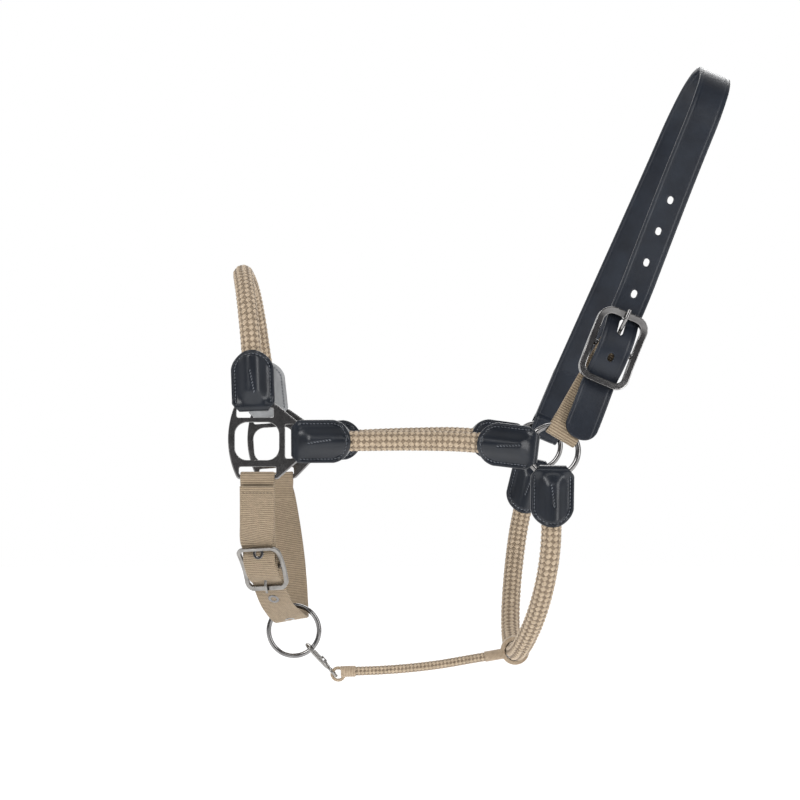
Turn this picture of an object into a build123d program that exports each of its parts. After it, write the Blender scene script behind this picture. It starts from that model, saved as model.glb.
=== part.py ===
from build123d import *
import math
import os

os.makedirs("parts", exist_ok=True)

# Rope halter in its worn shape. Millimetres, +Z up, the horse's nose points to -X and the halter's
# near side is -Y. The origin is the underside of the crown strap at the poll, the place that rests
# behind the horse's ears.

# Driving dimensions
rope_radius = 7.0
leather = 1.6
webbing = 1.8
webbing_width = 25.0
strap_width = 24.0
strap_thickness = 3.0

# Cheek rings: both turn about one axis parallel to Y
ring_x = -124.1
ring_z = -278.2
ring_y = 75.0
ring_radius = 18.0
ring_wire = 2.0

# Square fittings that join the noseband to the cheek pieces
square_thickness = 3.0
near_square_centre = (-332.0, -60.0, -272.2)
far_square_centre = (-327.5, 60.0, -277.2)
far_square_tilt = 4.0
square_top = 27.6
square_bottom = -27.0
square_right = 26.2
square_bar = 3.2
top_slot_x = -5.3
bottom_slot_x = -3.5
top_keeper_x = -5.6

# Crown strap: lies in a plane that leans forward and is turned a little about its own length
crown_lean = 22.9
crown_turn = 4.0

# Leather keepers: flat pouches folded round a ring or a bar, with a rope sewn in
keeper_length = 44.0
keeper_half_width = 15.5
ring_keeper_fold = 10.2
ring_keeper_corner = 42.0
bar_keeper_half_fold = 9.8

# Chin ring and connector
chin_ring_centre = (-312.7, 0.0, -415.3)
chin_ring_radius = 18.9
chin_ring_wire = 1.8
cord_radius = 3.2
throat_low_point = (-146.6, 0.0, -430.0)

# Rope routes: points chosen by hand, straight runs joined by tangent arcs
nose_route = [
    (-338.85, -58.9, -234.7),
    (-339.5, -57.7, -218.0),
    (-340.9, -55.6, -199.0),
    (-343.6, -50.2, -176.5),
    (-347.2, -34.0, -156.5),
    (-350.4, -12.0, -147.8),
    (-350.6, 12.0, -147.8),
    (-348.0, 34.0, -156.5),
    (-344.9, 50.8, -177.5),
    (-341.9, 56.4, -202.0),
    (-339.0, 58.4, -222.0),
    (-337.1, 59.3, -240.0),
]
throat_route = [
    (-124.55, -75.0, -304.2),
    (-124.9, -75.2, -325.0),
    (-125.7, -75.6, -350.0),
    (-129.2, -68.2, -375.0),
    (-134.6, -55.6, -398.5),
    (-141.0, -37.0, -418.0),
    (-145.6, -13.0, -430.0),
    (-147.6, 13.0, -430.0),
    (-148.2, 38.0, -418.5),
    (-146.4, 57.0, -396.0),
    (-143.3, 70.0, -371.0),
    (-139.6, 75.4, -345.0),
    (-134.5, 75.2, -321.0),
    (-130.3, 75.0, -303.6),
]
near_cheek_route = [
    (-296.0, -61.2, -271.8),
    (-268.0, -63.5, -271.6),
    (-225.0, -67.0, -270.9),
    (-181.0, -70.5, -271.7),
    (-149.9, -73.0, -275.3),
]
far_cheek_route = [
    (-291.5, 61.2, -274.3),
    (-262.0, 63.8, -272.2),
    (-220.0, 67.4, -270.8),
    (-179.5, 70.6, -270.3),
    (-149.8, 73.0, -274.4),
]
connector_route = [
    (-275.2, 0.0, -446.0),
    (-256.0, 0.0, -445.6),
    (-229.0, 0.0, -443.9),
    (-203.0, 0.0, -440.9),
    (-181.0, 0.0, -436.9),
    (-161.4, 0.0, -433.6),
]


def bend_radii(points, share=0.45):
    """The radius of each corner: a share of its shorter run over the tangent of half the turn."""
    radii = []
    for before, here, after in zip(points, points[1:], points[2:]):
        run_in = Vector(*here) - Vector(*before)
        run_out = Vector(*after) - Vector(*here)
        half_turn = math.radians(run_in.get_angle(run_out) / 2)
        radii.append(share * min(run_in.length, run_out.length) / math.tan(half_turn))
    return radii


def rope_tube(route, radius):
    """A round tube along a route; the path and its radii are printed with the volume."""
    radii = bend_radii(route)
    with BuildPart() as tube:
        with BuildLine() as path:
            FilletPolyline(*route, radius=radii)
        wire = path.wire()
        with BuildSketch(Plane(origin=wire @ 0, z_dir=wire % 0)):
            Circle(radius)
        sweep(path=wire)
    length = wire.length
    ratio = tube.part.volume / (math.pi * radius**2 * length)
    print(f"route {length:.1f} mm, volume ratio {ratio:.4f}, radii", [round(r) for r in radii])
    return tube


def save(node, name):
    node.part.label = name
    export_step(node.part, f"parts/{name}.step")


def side_plane(origin, tilt=0.0):
    """Seen from the near side: local x runs to the rear, local y up, local z towards the near side."""
    turn = math.radians(tilt)
    return Plane(origin=origin, x_dir=(math.cos(turn), 0, math.sin(turn)), z_dir=(0, -1, 0))


# Keepers


def keeper(name, fold, along, side, on_ring, rope):
    """A pouch from its fold at a ring or bar, local x along the rope and local z outwards."""
    pocket_half = ring_wire + 0.9 if on_ring else square_thickness / 2 + 0.8
    pocket_long = 9.2 if on_ring else 5.8
    pocket_start = 1.3 if on_ring else leather
    half_fold = ring_keeper_fold * math.tan(math.radians(ring_keeper_corner)) - 0.15
    half_fold = half_fold if on_ring else bar_keeper_half_fold
    corner = (keeper_half_width - half_fold) / math.tan(math.radians(ring_keeper_corner))
    shoulder = corner if on_ring else 5.0
    normal = Vector(*along).cross(Vector(*side))
    frame = Plane(origin=fold, x_dir=along, z_dir=normal)
    plate_half = 2.2
    tip_start = keeper_length - 13.0
    bulge_start = 5.0
    bulge_full = 14.0
    with BuildPart() as pouch:
        with BuildSketch(frame):
            with BuildLine():
                Polyline(
                    (tip_start, keeper_half_width),
                    (shoulder, keeper_half_width),
                    (0, half_fold),
                    (0, -half_fold),
                    (shoulder, -keeper_half_width),
                    (tip_start, -keeper_half_width),
                )
                ThreePointArc(
                    (tip_start, -keeper_half_width), (keeper_length, 0), (tip_start, keeper_half_width)
                )
            make_face()
        extrude(amount=rope_radius + leather + 0.6, both=True)
        with BuildSketch(Plane(origin=fold, x_dir=along, z_dir=side)):
            fold_half = pocket_half + leather
            rope_half = rope_radius + leather + 0.4
            with BuildLine():
                Polyline(
                    (keeper_length + 1, -rope_half),
                    (bulge_full, -rope_half),
                    (bulge_start, -fold_half),
                    (fold_half, -fold_half),
                )
                ThreePointArc((fold_half, -fold_half), (0, 0), (fold_half, fold_half))
                Polyline(
                    (fold_half, fold_half),
                    (bulge_start, fold_half),
                    (bulge_full, rope_half),
                    (keeper_length + 1, rope_half),
                    (keeper_length + 1, -rope_half),
                )
            make_face()
        extrude(amount=keeper_half_width + 1, both=True, mode=Mode.INTERSECT)
        slope_start = Vector(*fold) + Vector(*along).normalized() * (bulge_full - 3)
        with BuildSketch(Plane(origin=slope_start, x_dir=side, z_dir=along)):
            for hand in (-1, 1):
                for face in (-1, 1):
                    with BuildLine():
                        Polyline(
                            (hand * 8.0, face * 12.0),
                            (hand * 8.0, face * (rope_half + 0.01)),
                            (hand * 11.5, face * plate_half),
                            (hand * (keeper_half_width + 2), face * plate_half),
                            (hand * (keeper_half_width + 2), face * 12.0),
                            (hand * 8.0, face * 12.0),
                        )
                    make_face()
        extrude(amount=keeper_length, mode=Mode.SUBTRACT)
        with BuildSketch(Plane(origin=fold, x_dir=along, z_dir=side)):
            with Locations((pocket_start + pocket_long / 2, 0)):
                Rectangle(pocket_long, 2 * pocket_half)
        extrude(amount=keeper_half_width + 1, both=True, mode=Mode.SUBTRACT)
        add(rope.part, mode=Mode.SUBTRACT)
    save(pouch, name)


def ring_point(side_y, angle, distance):
    """A point at an angle and distance from a cheek ring's centre, in the ring's plane."""
    turn = math.radians(angle)
    return (ring_x + distance * math.cos(turn), side_y, ring_z + distance * math.sin(turn))


# Ropes

nose_rope = rope_tube(nose_route, rope_radius)
throat_rope = rope_tube(throat_route, rope_radius)
near_cheek_rope = rope_tube(near_cheek_route, rope_radius)
far_cheek_rope = rope_tube(far_cheek_route, rope_radius)
connector_cord = rope_tube(connector_route, cord_radius)
save(nose_rope, "nose_rope")
save(throat_rope, "throat_rope")
save(near_cheek_rope, "near_cheek_rope")
save(far_cheek_rope, "far_cheek_rope")
save(connector_cord, "connector_cord")


# Square fittings


def square_fitting(name, centre, tilt):
    """A flat plate with a bowed front, a round-cornered window and three slots behind the bars."""
    bar_top = square_top - square_bar
    bar_bottom = square_bottom + square_bar
    bar_right = square_right - square_bar
    with BuildPart() as plate:
        with BuildSketch(side_plane(centre, tilt)) as outline:
            with BuildLine():
                Polyline(
                    (-19.5, square_top),
                    (9.5, square_top),
                    (square_right, 14.0),
                    (square_right, -13.4),
                    (11.0, square_bottom),
                    (-18.0, square_bottom),
                )
                ThreePointArc((-18.0, square_bottom), (-24.8, 3.0), (-19.5, square_top))
            make_face()
            fillet(outline.vertices(), radius=3.5)
            with Locations((-3.95, 0.5)):
                RectangleRounded(31.9, 27.2, 9.0, mode=Mode.SUBTRACT)
            with Locations((top_slot_x, (17.5 + bar_top) / 2)):
                RectangleRounded(26.8, bar_top - 17.5, 1.5, mode=Mode.SUBTRACT)
            with Locations((bottom_slot_x, (bar_bottom - 17.9) / 2)):
                RectangleRounded(26.8, -17.9 - bar_bottom, 1.5, mode=Mode.SUBTRACT)
            with Locations(((16.3 + bar_right) / 2, 0.4)):
                RectangleRounded(bar_right - 16.3, 24.6, 1.5, mode=Mode.SUBTRACT)
        extrude(amount=square_thickness / 2, both=True)
        outer = plate.faces().sort_by(Axis.Y)
        chamfer(outer[0].outer_wire().edges() + outer[-1].outer_wire().edges(), length=0.6)
    save(plate, name)


square_fitting("near_square", near_square_centre, 0.0)
square_fitting("far_square", far_square_centre, far_square_tilt)

# Keepers on the squares

bar_inner_gap = 0.9 + leather
near_side = side_plane(near_square_centre)
far_side = side_plane(far_square_centre, far_square_tilt)


def square_keeper(name, plane, local_fold, rope, route, outwards):
    """A keeper folded round a bar of a square; it follows the first run of its rope."""
    fold = plane.from_local_coords((local_fold[0], local_fold[1], 0))
    along = (Vector(*route[1]) - Vector(*route[0])).normalized()
    lift = Vector(*route[0]) - fold
    start = Vector(*route[0]) - along * lift.dot(along)
    side = along.cross(Vector(0, outwards, 0)).normalized()
    keeper(name, tuple(start), tuple(along), tuple(side), False, rope)


nose_fold = (top_keeper_x, square_top - square_bar - bar_inner_gap)
cheek_fold = (square_right - square_bar - bar_inner_gap, 0.4)
square_keeper("near_nose_keeper", near_side, nose_fold, nose_rope, nose_route, -1)
square_keeper("far_nose_keeper", far_side, nose_fold, nose_rope, nose_route[::-1], 1)
square_keeper("near_cheek_front_keeper", near_side, cheek_fold, near_cheek_rope, near_cheek_route, -1)
square_keeper("far_cheek_front_keeper", far_side, cheek_fold, far_cheek_rope, far_cheek_route, 1)

# Keepers on the cheek rings


def ring_keeper(name, side_y, angle, rope, route):
    """A keeper folded round a cheek ring; it follows the first run of its rope."""
    along = (Vector(*route[1]) - Vector(*route[0])).normalized()
    fold = Vector(*ring_point(side_y, angle, ring_keeper_fold))
    side = along.cross(Vector(0, math.copysign(1, side_y), 0)).normalized()
    keeper(name, tuple(fold), tuple(along), tuple(side), True, rope)


ring_keeper("near_cheek_rear_keeper", -ring_y, 173.5, near_cheek_rope, near_cheek_route[::-1])
ring_keeper("far_cheek_rear_keeper", ring_y, 171.6, far_cheek_rope, far_cheek_route[::-1])
ring_keeper("near_throat_keeper", -ring_y, 269.0, throat_rope, throat_route)
ring_keeper("far_throat_keeper", ring_y, 256.5, throat_rope, throat_route[::-1])

# Rings


def wire_ring(name, centre, radius, wire):
    with BuildPart() as ring:
        with BuildSketch(Plane(origin=centre, x_dir=(1, 0, 0), z_dir=(0, 0, 1))):
            with Locations((radius, 0)):
                Circle(wire)
        revolve(axis=Axis(centre, (0, 1, 0)))
    save(ring, name)


wire_ring("near_cheek_ring", (ring_x, -ring_y, ring_z), ring_radius, ring_wire)
wire_ring("far_cheek_ring", (ring_x, ring_y, ring_z), ring_radius, ring_wire)
wire_ring("chin_ring", chin_ring_centre, chin_ring_radius, chin_ring_wire)

# Crown strap

lean = math.radians(crown_lean)
turn = math.radians(crown_turn)
up = Vector(math.sin(lean), 0, math.cos(lean))
flat = Vector(math.cos(lean), 0, -math.sin(lean))
across = Vector(0, 1, 0) * math.cos(turn) - flat * math.sin(turn)
crown_frame = Plane(origin=(0, 0, 0), x_dir=across, z_dir=across.cross(up))


def band(centre_line, radii, thickness):
    """A closed outline round a centre line: two filleted edges joined by straight ends."""
    edges = []
    for side in (0.5, -0.5):
        edge = []
        edge_radii = []
        count = len(centre_line)
        for index, point in enumerate(centre_line):
            here = Vector(*point)
            before = Vector(*centre_line[max(index - 1, 0)])
            after = Vector(*centre_line[min(index + 1, count - 1)])
            first = (here - before) if index else (after - here)
            last = (after - here) if index < count - 1 else (here - before)
            first = first.normalized()
            last = last.normalized()
            normal = Vector(-first.Y - last.Y, first.X + last.X).normalized()
            stretch = 1 / normal.dot(Vector(-first.Y, first.X))
            edge.append(here + normal * (side * thickness * stretch))
            if 0 < index < count - 1:
                left_turn = math.copysign(1, first.X * last.Y - first.Y * last.X)
                edge_radii.append(radii[index - 1] - left_turn * side * thickness)
        FilletPolyline(*edge, radius=edge_radii)
        edges.append(edge)
    Line(edges[0][0], edges[1][0])
    Line(edges[0][-1], edges[1][-1])


# Crown buckle: measured along the strap (up) and outwards from its end bars' centre line
buckle_origin = (-75.6, -220.6)
strand_tilt = math.radians(9.0)
crown_bar_depth = -3.6
crown_bar_radius = 2.2
crown_bar = 4.8


def by_crown_buckle(along, outward):
    """A point beside the crown buckle, in the crown strap's own plane."""
    x = buckle_origin[0] + along * math.sin(strand_tilt) - outward * math.cos(strand_tilt)
    y = buckle_origin[1] + along * math.cos(strand_tilt) + outward * math.sin(strand_tilt)
    return (x, y)


# Centre line of the strap, seen along its width: the tail, the buckle, the poll, the far ring
ring_drop = -304.56
far_ring_x = 75.24
strap_line = [
    by_crown_buckle(-69.5, -5.0),
    by_crown_buckle(-46.0, -4.2),
    by_crown_buckle(-24.0, -7.1),
    by_crown_buckle(-9.0, 3.4),
    by_crown_buckle(9.0, 3.4),
    by_crown_buckle(24.0, -7.1),
    by_crown_buckle(46.0, -2.6),
    (-58.5, -140.0),
    (-51.5, -104.0),
    (-46.5, -68.0),
    (-44.0, -34.0),
    (-33.0, -10.0),
    (-14.0, 1.5),
    (14.0, 1.5),
    (33.0, -10.0),
    (44.0, -34.0),
    (47.5, -72.0),
    (54.0, -115.0),
    (62.0, -165.0),
    (70.5, -215.0),
    (76.6, -255.0),
    (76.6, -284.0),
]
hole_heights = [-227.6, -178.2, -153.5, -128.8, -104.1]
tongue_hole_height = -204.4

with BuildPart() as crown_strap:
    with BuildSketch(crown_frame):
        with BuildLine():
            band(strap_line, bend_radii(strap_line), strap_thickness)
        make_face()
        with Locations((far_ring_x, ring_drop + 15.1)):
            SlotOverall(19.2, 12.0, rotation=90)
        with Locations((far_ring_x + 0.1, -264.0)):
            Rectangle(2 * strap_thickness, 42.0)
        with Locations((far_ring_x, ring_drop + 14.5)):
            SlotOverall(14.0, 7.4, rotation=90, mode=Mode.SUBTRACT)
    extrude(amount=strap_width / 2, both=True)
    punch_start = crown_frame.from_local_coords((-95.0, 0, 0))
    punch = Plane(origin=punch_start, x_dir=crown_frame.y_dir, z_dir=crown_frame.x_dir)
    with BuildSketch(punch):
        with Locations(*[(height, 0) for height in hole_heights]):
            SlotOverall(6.0, 4.2)
        with Locations((tongue_hole_height, 0)):
            SlotOverall(11.8, 4.6)
    extrude(amount=65.0, mode=Mode.SUBTRACT)
    tail_end = crown_frame.from_local_coords((*strap_line[0], 0))
    corners = crown_strap.edges().filter_by(lambda edge: abs(edge.length - strap_thickness) < 0.01)
    fillet(corners.sort_by_distance(tail_end)[:2], radius=10.5)
save(crown_strap, "crown_strap")

# Crown buckle

crown_buckle_centre = crown_frame.from_local_coords((*buckle_origin, 0))
crown_outward = (
    crown_frame.from_local_coords((*by_crown_buckle(0, 1), 0)) - crown_buckle_centre
).normalized()


def buckle_plane(centre, width_dir, outward):
    """Local x along the buckle's bars, local y up the strap, local z outwards."""
    return Plane(origin=centre, x_dir=width_dir, z_dir=outward)


def buckle_frame(name, plane, width, length, bar, thickness, corner, centre_bar, bow):
    """A bowed frame with rounded corners and a centre bar set behind it."""
    reach = length / 2 - bar / 2
    radius = (reach**2 + bow**2) / (2 * bow)
    rise = (length**2 / 4 - reach**2) / (2 * radius)
    profile = Plane(origin=plane.origin, x_dir=plane.y_dir, z_dir=plane.x_dir)
    with BuildPart() as frame:
        with BuildSketch(plane):
            RectangleRounded(width, length, corner)
            RectangleRounded(width - 2 * bar, length - 2 * bar, corner * 0.6, mode=Mode.SUBTRACT)
        extrude(amount=bow + thickness + 2, both=True)
        with BuildSketch(profile):
            end = length / 2
            half = thickness / 2
            with BuildLine():
                ThreePointArc((-end, rise - half), (0, -bow - half), (end, rise - half))
                Line((end, rise - half), (end, rise + half))
                ThreePointArc((end, rise + half), (0, -bow + half), (-end, rise + half))
                Line((-end, rise + half), (-end, rise - half))
            make_face()
        extrude(amount=width, both=True, mode=Mode.INTERSECT)
        with BuildSketch(profile):
            with Locations((0, -bow)):
                Circle(centre_bar)
        extrude(amount=width / 2 - bar / 2, both=True)
    save(frame, name)


def buckle_tongue(name, plane, points, wire, bar_radius, bow, loop_width, bend):
    """A round tongue with a flat loop that turns on the centre bar."""
    profile = Plane(origin=plane.origin, x_dir=plane.y_dir, z_dir=plane.x_dir)
    path_points = [plane.from_local_coords((0, along, outward)) for along, outward in points]
    with BuildPart() as tongue:
        with BuildLine() as path:
            FilletPolyline(*path_points, radius=bend)
        wire_path = path.wire()
        with BuildSketch(Plane(origin=wire_path @ 0, z_dir=wire_path % 0)):
            Circle(wire)
        sweep(path=wire_path)
        with BuildSketch(profile):
            with Locations((0, -bow)):
                Circle(bar_radius + 1.5)
        extrude(amount=loop_width / 2, both=True)
        with BuildSketch(profile):
            with Locations((0, -bow)):
                Circle(bar_radius + 0.1)
        extrude(amount=loop_width, both=True, mode=Mode.SUBTRACT)
    save(tongue, name)


crown_buckle = buckle_plane(crown_buckle_centre, crown_frame.z_dir, crown_outward)
crown_bow = -crown_bar_depth
buckle_frame(
    "crown_buckle_frame", crown_buckle, 38.0, 56.0, crown_bar, 4.4, 10.0, crown_bar_radius, crown_bow
)
crown_tongue_points = [(3.2, -2.6), (13.5, -2.2), (22.5, 4.2), (29.5, 5.2)]
buckle_tongue(
    "crown_buckle_tongue", crown_buckle, crown_tongue_points, 1.4, crown_bar_radius, crown_bow, 4.0, 4.0
)

# Crown chape: doubled webbing from the buckle's centre bar down to the near cheek ring

chape_width = 23.0
near_ring_centre = Vector(ring_x, -ring_y, ring_z)
crown_bar_centre = crown_buckle.from_local_coords((0, 0, crown_bar_depth))
chape_along = (crown_bar_centre - near_ring_centre).normalized()
chape_length = (crown_bar_centre - near_ring_centre).length
chape_width_dir = crown_frame.z_dir - Vector(0, crown_frame.z_dir.Y / 2, 0)
chape_width_dir = (chape_width_dir - chape_along * chape_width_dir.dot(chape_along)).normalized()
chape_frame = Plane(
    origin=near_ring_centre, x_dir=chape_along.cross(chape_width_dir), z_dir=chape_width_dir
)
with BuildPart() as crown_chape:
    with BuildSketch(chape_frame):
        chape_line = [(0.0, 20.0), (3.2, 38.0), (3.8, chape_length - 24.0), (0.0, chape_length - 4.0)]
        with BuildLine():
            band(chape_line, bend_radii(chape_line, share=0.4), 3.8)
        make_face()
        with Locations((0, 15.7)):
            SlotOverall(14.2, 9.8, rotation=90)
        with Locations((0, chape_length)):
            SlotOverall(12.2, 9.3, rotation=90)
        with Locations((0, 15.7)):
            SlotOverall(10.6, 6.2, rotation=90, mode=Mode.SUBTRACT)
        with Locations((0, chape_length)):
            SlotOverall(8.6, 5.7, rotation=90, mode=Mode.SUBTRACT)
    extrude(amount=chape_width / 2, both=True)
    slot_frame = Plane(
        origin=chape_frame.from_local_coords((0, chape_length + 2.0, 0)),
        x_dir=chape_frame.z_dir,
        z_dir=chape_frame.x_dir,
    )
    with BuildSketch(slot_frame):
        Rectangle(6.0, 13.0)
    extrude(amount=8.0, both=True, mode=Mode.SUBTRACT)
save(crown_chape, "crown_buckle_chape")

# Chin buckle

chin_buckle_centre = Vector(-333.3, -46.0, -364.6)
chin_up = Vector(-0.22, -0.42, 0.88).normalized()
chin_width = Vector(0.94, -0.33, 0.06)
chin_width = (chin_width - chin_up * chin_width.dot(chin_up)).normalized()
chin_outward = chin_width.cross(chin_up)
chin_buckle = buckle_plane(chin_buckle_centre, chin_width, chin_outward)
chin_bar_radius = 1.4
chin_bar_depth = -3.0
chin_bow = -chin_bar_depth
buckle_frame("chin_buckle_frame", chin_buckle, 34.0, 36.0, 3.0, 2.4, 6.5, chin_bar_radius, chin_bow)
chin_tongue_points = [(-2.2, -1.9), (-8.5, -0.9), (-13.5, 2.7), (-19.0, 3.2)]
buckle_tongue(
    "chin_buckle_tongue", chin_buckle, chin_tongue_points, 1.0, chin_bar_radius, chin_bow, 3.4, 2.0
)


def by_chin_buckle(along, outward):
    return chin_buckle.from_local_coords((0, along, outward))


def ribbon(stations, width, thickness):
    """A flat webbing strip through stations, each a centre and a width direction."""
    with BuildPart(mode=Mode.PRIVATE) as strip:
        count = len(stations)
        for index, (centre, width_dir) in enumerate(stations):
            before = Vector(*stations[max(index - 1, 0)][0])
            after = Vector(*stations[min(index + 1, count - 1)][0])
            tangent = (after - before).normalized()
            side = Vector(*width_dir)
            side = (side - tangent * side.dot(tangent)).normalized()
            with BuildSketch(Plane(origin=centre, x_dir=side, z_dir=tangent)):
                Rectangle(width, thickness)
        loft(ruled=True)
    return strip.part


def bar_loop(origin, profile_x, width_dir, cavity, wall, width, long):
    """A webbing loop round a bar: a slot-shaped sleeve, extruded along the bar."""
    with BuildPart(mode=Mode.PRIVATE) as loop:
        with BuildSketch(Plane(origin=origin, x_dir=profile_x, z_dir=width_dir)):
            SlotOverall(long + 2 * wall, 2 * (cavity + wall))
        extrude(amount=width / 2, both=True)
    with BuildPart(mode=Mode.PRIVATE) as room:
        with BuildSketch(Plane(origin=origin, x_dir=profile_x, z_dir=width_dir)):
            SlotOverall(long, 2 * cavity)
        extrude(amount=width, both=True)
    return loop.part, room.part


# Chin chape: doubled webbing from the near square's bottom bar to the chin buckle's centre bar

near_bar = near_side.from_local_coords((bottom_slot_x, square_bottom + square_bar / 2, 0))
far_bar = far_side.from_local_coords((bottom_slot_x, square_bottom + square_bar / 2, 0))
upright = (1.0, 0.0, 0.0)
near_loop, near_room = bar_loop(near_bar, (0, 0, 1), near_side.x_dir, 2.2, webbing, 24.6, 6.0)
chin_bar_centre = by_chin_buckle(0, chin_bar_depth)
chin_loop, chin_room = bar_loop(chin_bar_centre, chin_up, chin_width, 1.65, webbing, 24.6, 4.4)
chape_stations = [
    (tuple(near_bar - Vector(0, 0, 4.6)), upright),
    ((-335.5, -58.6, -312.0), upright),
    ((-335.8, -55.0, -329.0), (0.99, -0.1, 0.0)),
    (tuple(by_chin_buckle(18.0, -7.0)), tuple(chin_width)),
    (tuple(by_chin_buckle(13.0, -7.0)), tuple(chin_width)),
    (tuple(by_chin_buckle(3.4, -3.4)), tuple(chin_width)),
]
with BuildPart() as chin_chape:
    add(ribbon(chape_stations, 24.6, 2 * webbing + 0.2))
    add(near_loop)
    add(chin_loop)
    add(near_room, mode=Mode.SUBTRACT)
    add(chin_room, mode=Mode.SUBTRACT)
    tongue_room = by_chin_buckle(-1.5, chin_bar_depth)
    with BuildSketch(Plane(origin=tongue_room, x_dir=chin_width, z_dir=chin_outward)):
        Rectangle(5.4, 9.0)
    extrude(amount=6.0, both=True, mode=Mode.SUBTRACT)
save(chin_chape, "chin_buckle_chape")

# Chin strap: from its free end on the near side, through the buckle and the chin ring, up the far side

bottom_centre = (-314.1, 0.0, -406.7)
strap_stations = [
    ((-335.5, -64.9, -304.0), upright),
    ((-335.6, -62.6, -317.0), upright),
    ((-336.2, -58.2, -333.0), (0.98, -0.15, 0.0)),
    (tuple(by_chin_buckle(21.0, -3.2)), tuple(chin_width)),
    (tuple(by_chin_buckle(14.6, -3.3)), tuple(chin_width)),
    (tuple(by_chin_buckle(9.0, 0.2)), tuple(chin_width)),
    (tuple(by_chin_buckle(4.0, 1.9)), tuple(chin_width)),
    (tuple(by_chin_buckle(-4.0, 1.9)), tuple(chin_width)),
    (tuple(by_chin_buckle(-9.0, 0.2)), tuple(chin_width)),
    (tuple(by_chin_buckle(-14.6, -3.3)), tuple(chin_width)),
    (tuple(by_chin_buckle(-21.0, -3.2)), tuple(chin_width)),
    ((-323.6, -24.0, -393.6), (0.96, -0.28, 0.1)),
    ((-317.2, -11.0, -403.4), (0.98, -0.12, 0.17)),
    (bottom_centre, (0.985, 0.0, 0.17)),
    ((-314.6, 10.0, -404.4), (0.985, 0.05, 0.17)),
    ((-315.6, 22.0, -396.0), (0.99, 0.0, 0.12)),
    ((-317.0, 32.0, -382.0), (1.0, 0.0, 0.08)),
    ((-319.4, 41.0, -362.0), (1.0, 0.0, 0.05)),
    ((-323.0, 49.5, -340.0), (1.0, 0.0, 0.05)),
    ((-327.4, 57.0, -320.0), (1.0, 0.0, 0.06)),
    (tuple(far_bar - Vector(-0.4, 0, 4.6)), tuple(far_side.x_dir)),
]
far_loop, far_room = bar_loop(far_bar, far_side.y_dir, far_side.x_dir, 2.2, webbing, 24.6, 6.0)


def between(first, second):
    """An eyelet's plane midway between two stations of the strap, its normal square to the run."""
    start, start_width = strap_stations[first]
    end, end_width = strap_stations[second]
    run = Vector(*end) - Vector(*start)
    side = Vector(*start_width) + Vector(*end_width)
    side = side - run.normalized() * side.dot(run.normalized())
    return Plane(origin=Vector(*start) + run / 2, x_dir=side, z_dir=side.cross(run))


eyelet_barrel = 2.9
eyelet_planes = {
    "chin_top_eyelet": between(4, 5),
    "chin_middle_eyelet": between(10, 11),
    "chin_low_eyelet": between(12, 13),
}
with BuildPart() as chin_strap:
    add(ribbon(strap_stations, webbing_width, webbing))
    add(ribbon(strap_stations[-2:], 24.6, 2 * webbing))
    add(far_loop)
    add(far_room, mode=Mode.SUBTRACT)
    with BuildSketch(Plane(origin=by_chin_buckle(-10.0, -6.0), x_dir=chin_up, z_dir=chin_outward)):
        SlotOverall(7.6, 3.4)
    extrude(amount=12.0, mode=Mode.SUBTRACT)
    for plane in eyelet_planes.values():
        with BuildSketch(plane):
            Circle(eyelet_barrel)
        extrude(amount=3.0, both=True, mode=Mode.SUBTRACT)
save(chin_strap, "chin_strap")

# Eyelets: a barrel through the webbing, rolled over into a rim on each face

for name, plane in eyelet_planes.items():
    with BuildPart() as eyelet:
        with BuildSketch(plane):
            Circle(4.2)
            Circle(2.0, mode=Mode.SUBTRACT)
        extrude(amount=webbing / 2 + 0.6, both=True)
        chamfer(eyelet.edges().filter_by(GeomType.CIRCLE), length=0.3)
        add(chin_strap.part, mode=Mode.SUBTRACT)
    save(eyelet, name)

# Snap: a small wire clip whose long axis points from the chin ring's centre to the cord

snap_angle = math.radians(-46.8)
snap_axis = Vector(math.cos(snap_angle), 0, math.sin(snap_angle))
snap_start = Vector(*chin_ring_centre) + snap_axis * 14.6
snap_frame = Plane(origin=snap_start, x_dir=snap_axis, z_dir=Vector(0, 1, 0).cross(snap_axis) * -1)
snap_wire = 1.4
snap_half = 5.4
snap_length = 23.2
gate_start = 6.4
gate_pin = (15.2, snap_half)
pin_radius = 0.5
with BuildPart() as snap_hook:
    with BuildLine(snap_frame) as hook_line:
        Line((gate_start, snap_half), (snap_half, snap_half))
        ThreePointArc((snap_half, snap_half), (0, 0), (snap_half, -snap_half))
        Line((snap_half, -snap_half), (snap_length - snap_half, -snap_half))
        ThreePointArc(
            (snap_length - snap_half, -snap_half),
            (snap_length, 0),
            (snap_length - snap_half, snap_half),
        )
    hook_wire = hook_line.wire()
    with BuildSketch(Plane(origin=hook_wire @ 0, z_dir=hook_wire % 0)):
        Circle(snap_wire)
    sweep(path=hook_wire)
    eye_centre = snap_frame.from_local_coords((snap_length + 4.6, 0, 0))
    with BuildSketch(Plane(origin=eye_centre, x_dir=snap_frame.x_dir, z_dir=snap_frame.y_dir)):
        with Locations((4.2, 0)):
            Circle(1.0)
    revolve(axis=Axis(eye_centre, snap_frame.z_dir))
    with BuildSketch(snap_frame):
        with Locations((16.6, snap_half)):
            SlotOverall(5.4, 2.6)
    extrude(amount=2.1, both=True)
    with BuildSketch(snap_frame):
        with Locations((14.5, snap_half - 0.6)):
            Rectangle(6.0, 4.4)
    extrude(amount=1.3, both=True, mode=Mode.SUBTRACT)
    with BuildSketch(snap_frame):
        with Locations(gate_pin):
            Circle(pin_radius)
    extrude(amount=3.0, both=True, mode=Mode.SUBTRACT)
save(snap_hook, "snap_hook")

# Snap gate: a sprung bar that turns on a pin between the hook's two cheeks

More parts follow.
